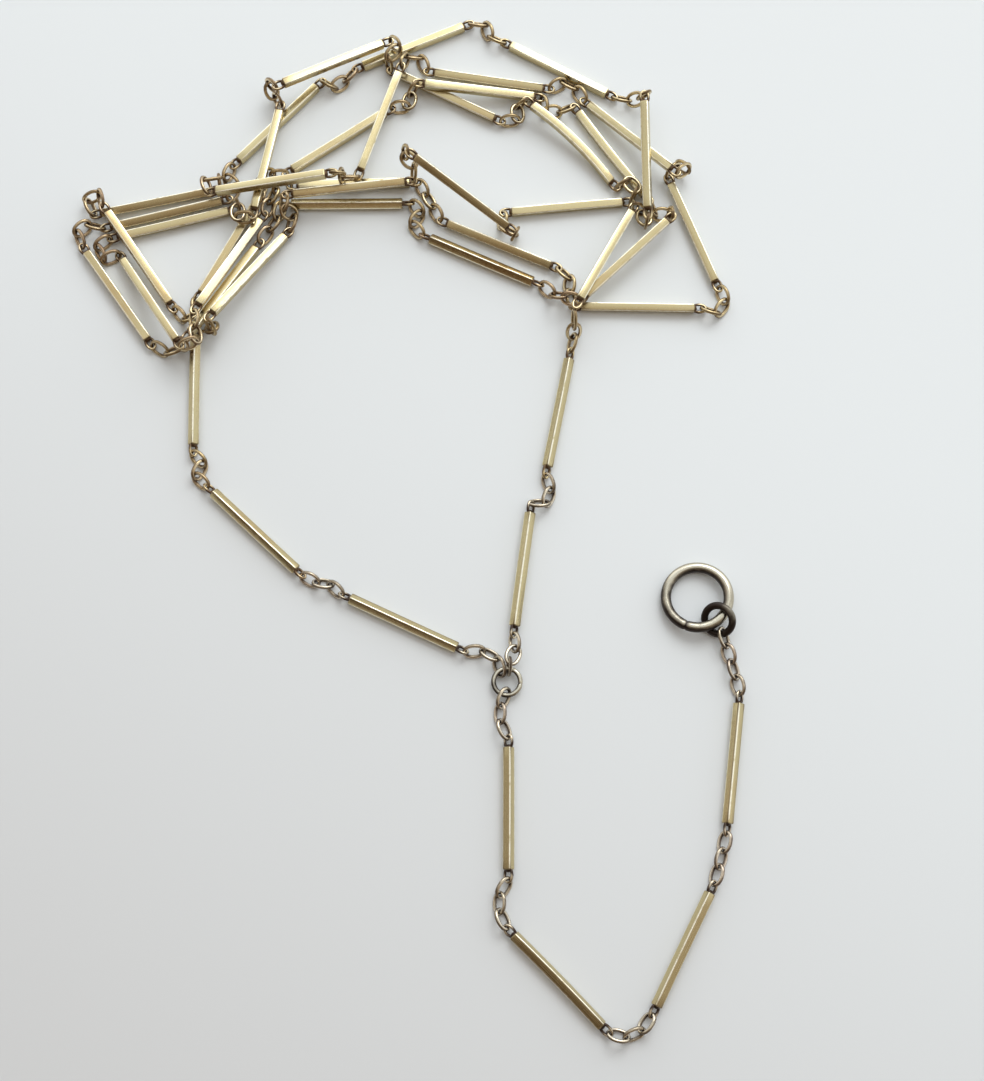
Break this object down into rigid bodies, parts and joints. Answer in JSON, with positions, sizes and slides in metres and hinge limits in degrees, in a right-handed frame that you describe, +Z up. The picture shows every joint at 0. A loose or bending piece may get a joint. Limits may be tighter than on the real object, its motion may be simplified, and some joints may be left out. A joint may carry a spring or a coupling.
{
  "type": "pocket watch chain",
  "caption": "Long guard chain of square bar links and small oval links, with a watch drop that ends in a jump ring and a watch ring.",
  "frame": {"origin": "middle of the chain's outline as it lies, on the surface that it lies on", "axes": "+Z up from the surface, +Y from the watch drop towards the heaped neck loop, +X to the right"},
  "size_m": [0.1164, 0.1806, 0.0097],
  "materials": {
    "bar_metal": "worn pale gilt, polished, with dark solder at the eyes",
    "link_metal": "worn pale gilt with dark patina in the bends",
    "ring_metal": "worn, with dark patina on the inside and the underside"
  },
  "bodies": {
    "neck_heap": {"loop_bar_03": "bar_metal", "loop_bar_05": "bar_metal", "loop_bar_09": "bar_metal", "loop_bar_13": "bar_metal", "loop_bar_14": "bar_metal", "loop_bar_15": "bar_metal", "loop_bar_16": "bar_metal", "loop_bar_17": "bar_metal", "loop_bar_18": "bar_metal", "loop_bar_20": "bar_metal", "loop_bar_21": "bar_metal", "loop_bar_22": "bar_metal", "loop_bar_24": "bar_metal", "loop_bar_25": "bar_metal", "loop_bar_26": "bar_metal", "loop_bar_27": "bar_metal", "loop_bar_28": "bar_metal", "loop_bar_29": "bar_metal", "loop_bar_30": "bar_metal", "loop_bar_31": "bar_metal", "loop_bar_32": "bar_metal", "loop_bar_33": "bar_metal", "loop_bar_34": "bar_metal", "loop_bar_35": "bar_metal", "loop_bar_36": "bar_metal", "loop_bar_37": "bar_metal", "loop_bar_38": "bar_metal"},
    "loop_bar_02": {"loop_bar_02": "bar_metal"},
    "loop_bar_01": {"loop_bar_01": "bar_metal"},
    "y_ring": {"y_ring": "ring_metal"},
    "loop_bar_41": {"loop_bar_41": "bar_metal"},
    "loop_bar_40": {"loop_bar_40": "bar_metal"},
    "drop_link_01": {"drop_link_01": "link_metal"},
    "drop_link_02": {"drop_link_02": "link_metal"},
    "drop_link_03": {"drop_link_03": "link_metal"},
    "drop_bar_1": {"drop_bar_1": "bar_metal"},
    "drop_link_04": {"drop_link_04": "link_metal"},
    "drop_link_05": {"drop_link_05": "link_metal"},
    "drop_link_06": {"drop_link_06": "link_metal"},
    "drop_bar_2": {"drop_bar_2": "bar_metal"},
    "drop_link_07": {"drop_link_07": "link_metal"},
    "drop_link_08": {"drop_link_08": "link_metal"},
    "drop_link_09": {"drop_link_09": "link_metal"},
    "drop_bar_3": {"drop_bar_3": "bar_metal"},
    "drop_link_10": {"drop_link_10": "link_metal"},
    "drop_link_11": {"drop_link_11": "link_metal"},
    "drop_link_12": {"drop_link_12": "link_metal"},
    "drop_bar_4": {"drop_bar_4": "bar_metal"},
    "drop_link_13": {"drop_link_13": "link_metal"},
    "drop_link_14": {"drop_link_14": "link_metal"},
    "drop_link_15": {"drop_link_15": "link_metal"},
    "drop_link_16": {"drop_link_16": "link_metal"},
    "jump_ring": {"jump_ring": "ring_metal"},
    "watch_ring": {"watch_ring": "ring_metal"}
  },
  "joints": [
    {"name": "loop_bar_02_swing", "type": "hinge", "parent": "neck_heap", "child": "loop_bar_02", "pos_m": [-0.03265, 0.00126, 0.00111], "axis": [0.4822, 0.5172, 0.7071], "range_deg": [-40, 0]},
    {"name": "loop_bar_01_swing", "type": "hinge", "parent": "loop_bar_02", "child": "loop_bar_01", "pos_m": [-0.01566, -0.0146, 0.0011], "axis": [-0.2914, -0.6499, 0.7019], "range_deg": [-30, 0]},
    {"name": "y_ring_swing", "type": "hinge", "parent": "loop_bar_01", "child": "y_ring", "pos_m": [0.01783, -0.03138, 0.00106], "axis": [0, 0, 1], "range_deg": [-20, 5]},
    {"name": "loop_bar_41_swing", "type": "hinge", "parent": "y_ring", "child": "loop_bar_41", "pos_m": [0.01876, -0.03065, 0.00045], "axis": [0, 0, 1], "range_deg": [-20, 10]},
    {"name": "loop_bar_40_swing", "type": "hinge", "parent": "loop_bar_41", "child": "loop_bar_40", "pos_m": [0.02521, 0.00355, 0.00106], "axis": [-0.6932, 0.1397, -0.7071], "range_deg": [-30, 30]},
    {"name": "drop_link_01_swing", "type": "hinge", "parent": "y_ring", "child": "drop_link_01", "pos_m": [0.0187, -0.03363, 0.00104], "axis": [0, 0, 1], "range_deg": [-30, 30]},
    {"name": "drop_link_02_swing", "type": "hinge", "parent": "drop_link_01", "child": "drop_link_02", "pos_m": [0.01747, -0.03607, 0.00101], "axis": [0.6876, -0.3098, 0.6567], "range_deg": [-35, 35]},
    {"name": "drop_link_03_swing", "type": "hinge", "parent": "drop_link_02", "child": "drop_link_03", "pos_m": [0.0174, -0.03887, 0.00122], "axis": [-0.7255, 0.02, 0.6879], "range_deg": [-35, 35]},
    {"name": "drop_bar_1_swing", "type": "hinge", "parent": "drop_link_03", "child": "drop_bar_1", "pos_m": [0.01884, -0.04127, 0.00108], "axis": [-0.6827, -0.277, -0.6762], "range_deg": [-35, 35]},
    {"name": "drop_link_04_swing", "type": "hinge", "parent": "drop_bar_1", "child": "drop_link_04", "pos_m": [0.01887, -0.06467, 0.00103], "axis": [0.5736, -0.002, -0.8192], "range_deg": [-35, 35]},
    {"name": "drop_link_05_swing", "type": "hinge", "parent": "drop_link_04", "child": "drop_link_05", "pos_m": [0.01733, -0.06693, 0.00102], "axis": [0.6292, -0.3822, 0.6768], "range_deg": [-35, 35]},
    {"name": "drop_link_06_swing", "type": "hinge", "parent": "drop_link_05", "child": "drop_link_06", "pos_m": [0.01711, -0.06965, 0.00104], "axis": [-0.7275, 0.0228, 0.6857], "range_deg": [-35, 35]},
    {"name": "drop_bar_2_swing", "type": "hinge", "parent": "drop_link_06", "child": "drop_bar_2", "pos_m": [0.01818, -0.07219, 0.00103], "axis": [-0.659, -0.3196, -0.6809], "range_deg": [-35, 35]},
    {"name": "drop_link_07_swing", "type": "hinge", "parent": "drop_bar_2", "child": "drop_link_07", "pos_m": [0.03461, -0.08883, 0.00111], "axis": [0.2994, 0.2982, -0.9063], "range_deg": [-35, 35]},
    {"name": "drop_link_08_swing", "type": "hinge", "parent": "drop_link_07", "child": "drop_link_08", "pos_m": [0.03722, -0.08964, 0.00103], "axis": [0.1852, 0.7079, 0.6816], "range_deg": [-35, 35]},
    {"name": "drop_link_09_swing", "type": "hinge", "parent": "drop_link_08", "child": "drop_link_09", "pos_m": [0.03979, -0.08865, 0.00116], "axis": [0.2785, -0.6921, 0.6659], "range_deg": [-35, 35]},
    {"name": "drop_bar_3_swing", "type": "hinge", "parent": "drop_link_09", "child": "drop_bar_3", "pos_m": [0.04145, -0.08645, 0.00107], "axis": [0.5936, -0.4383, -0.6749], "range_deg": [-35, 35]},
    {"name": "drop_link_10_swing", "type": "hinge", "parent": "drop_bar_3", "child": "drop_link_10", "pos_m": [0.05215, -0.06565, 0.00108], "axis": [-0.4717, 0.2414, -0.8481], "range_deg": [-35, 35]},
    {"name": "drop_link_11_swing", "type": "hinge", "parent": "drop_link_10", "child": "drop_link_11", "pos_m": [0.05297, -0.06305, 0.00103], "axis": [-0.7024, 0.2299, 0.6736], "range_deg": [-35, 35]},
    {"name": "drop_link_12_swing", "type": "hinge", "parent": "drop_link_11", "child": "drop_link_12", "pos_m": [0.05371, -0.06043, 0.00102], "axis": [0.6603, -0.1815, 0.7288], "range_deg": [-35, 35]},
    {"name": "drop_bar_4_swing", "type": "hinge", "parent": "drop_link_12", "child": "drop_bar_4", "pos_m": [0.05442, -0.05777, 0.0011], "axis": [0.7015, -0.1579, -0.6949], "range_deg": [-35, 35]},
    {"name": "drop_link_13_swing", "type": "hinge", "parent": "drop_bar_4", "child": "drop_link_13", "pos_m": [0.05746, -0.03458, 0.00111], "axis": [-0.7015, 0.0891, -0.7071], "range_deg": [-35, 35]},
    {"name": "drop_link_14_swing", "type": "hinge", "parent": "drop_link_13", "child": "drop_link_14", "pos_m": [0.05691, -0.03191, 0.00105], "axis": [-0.6952, -0.137, 0.7056], "range_deg": [-35, 35]},
    {"name": "drop_link_15_swing", "type": "hinge", "parent": "drop_link_14", "child": "drop_link_15", "pos_m": [0.05618, -0.02929, 0.0011], "axis": [0.7011, 0.1751, 0.6912], "range_deg": [-35, 35]},
    {"name": "drop_link_16_swing", "type": "hinge", "parent": "drop_link_15", "child": "drop_link_16", "pos_m": [0.05543, -0.02663, 0.0013], "axis": [0.634, 0.2342, -0.737], "range_deg": [-35, 35]},
    {"name": "jump_ring_swing", "type": "hinge", "parent": "drop_link_16", "child": "jump_ring", "pos_m": [0.0546, -0.02344, 0.00158], "axis": [-0.4716, -0.3957, 0.788], "range_deg": [-45, 45]},
    {"name": "watch_ring_turn", "type": "hinge", "parent": "jump_ring", "child": "watch_ring", "pos_m": [0.05072, -0.01809, 0.00149], "axis": [-0.0797, 0.095, 0.9923], "continuous": true}
  ]
}
